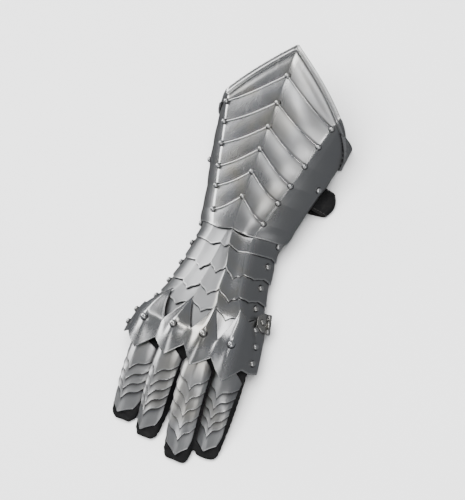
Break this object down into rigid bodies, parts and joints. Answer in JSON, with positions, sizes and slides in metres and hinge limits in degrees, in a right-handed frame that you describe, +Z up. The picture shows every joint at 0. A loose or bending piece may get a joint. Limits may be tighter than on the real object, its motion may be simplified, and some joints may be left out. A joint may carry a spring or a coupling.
{
  "type": "armoured gauntlet",
  "caption": "Plate gauntlet for a right hand: ribbed flaring cuff, overlapping wrist and hand lames, scaled fingers, a hinged thumb guard, a leather glove and a strap.",
  "frame": {"origin": "middle of the bounding box, on the ground plane the gauntlet lies on, palm down", "axes": "+Z up; +Y along the length towards the elbow end, so the fingers point along -Y; +X towards the thumb side"},
  "size_m": [0.1412, 0.3958, 0.0883],
  "materials": {
    "polished_steel": "hand-polished steel plate with faint hammer marks",
    "dark_steel": "polished steel plate, darker",
    "black_leather": "soft black leather"
  },
  "bodies": {
    "gauntlet": {"cuff_plate": "polished_steel", "cuff_rib_1": "polished_steel", "cuff_rib_2": "polished_steel", "cuff_rib_3": "polished_steel", "cuff_rib_4": "polished_steel", "cuff_rib_5": "polished_steel", "cuff_rib_6": "polished_steel", "hand_lame_2": "polished_steel", "hand_lame_3": "polished_steel", "hand_lame_4": "polished_steel", "knuckle_plate": "polished_steel", "knuckle_rivet_index": "polished_steel", "knuckle_rivet_middle": "polished_steel", "knuckle_rivet_ring": "polished_steel", "knuckle_rivet_little": "polished_steel", "index_scale_1": "polished_steel", "index_scale_2": "polished_steel", "index_scale_3": "polished_steel", "index_scale_4": "polished_steel", "index_scale_5": "polished_steel", "index_tip_plate": "polished_steel", "middle_scale_1": "polished_steel", "middle_scale_2": "polished_steel", "middle_scale_3": "polished_steel", "middle_scale_4": "polished_steel", "middle_scale_5": "polished_steel", "middle_tip_plate": "polished_steel", "ring_scale_1": "polished_steel", "ring_scale_2": "polished_steel", "ring_scale_3": "polished_steel", "ring_scale_4": "polished_steel", "ring_scale_5": "polished_steel", "ring_tip_plate": "polished_steel", "little_scale_1": "polished_steel", "little_scale_2": "polished_steel", "little_scale_3": "polished_steel", "little_scale_4": "polished_steel", "little_tip_plate": "polished_steel", "hinge_leaf": "polished_steel", "strap_rivet_thumb": "polished_steel", "strap_rivet_little": "polished_steel", "wrist_lame": "dark_steel", "hand_lame_1": "dark_steel", "glove_palm": "black_leather", "glove_index": "black_leather", "glove_middle": "black_leather", "glove_ring": "black_leather", "glove_little": "black_leather", "glove_thumb": "black_leather", "strap": "black_leather"},
    "thumb_guard": {"thumb_leaf": "polished_steel", "thumb_plate": "polished_steel", "thumb_scale_1": "polished_steel", "thumb_scale_2": "polished_steel", "thumb_tip": "polished_steel"}
  },
  "joints": [
    {"name": "thumb_guard_hinge", "type": "hinge", "parent": "gauntlet", "child": "thumb_guard", "pos_m": [0.06118, -0.04794, 0.0127], "axis": [0.309, -0.9511, -0.0002], "range_deg": [0, 120]}
  ]
}
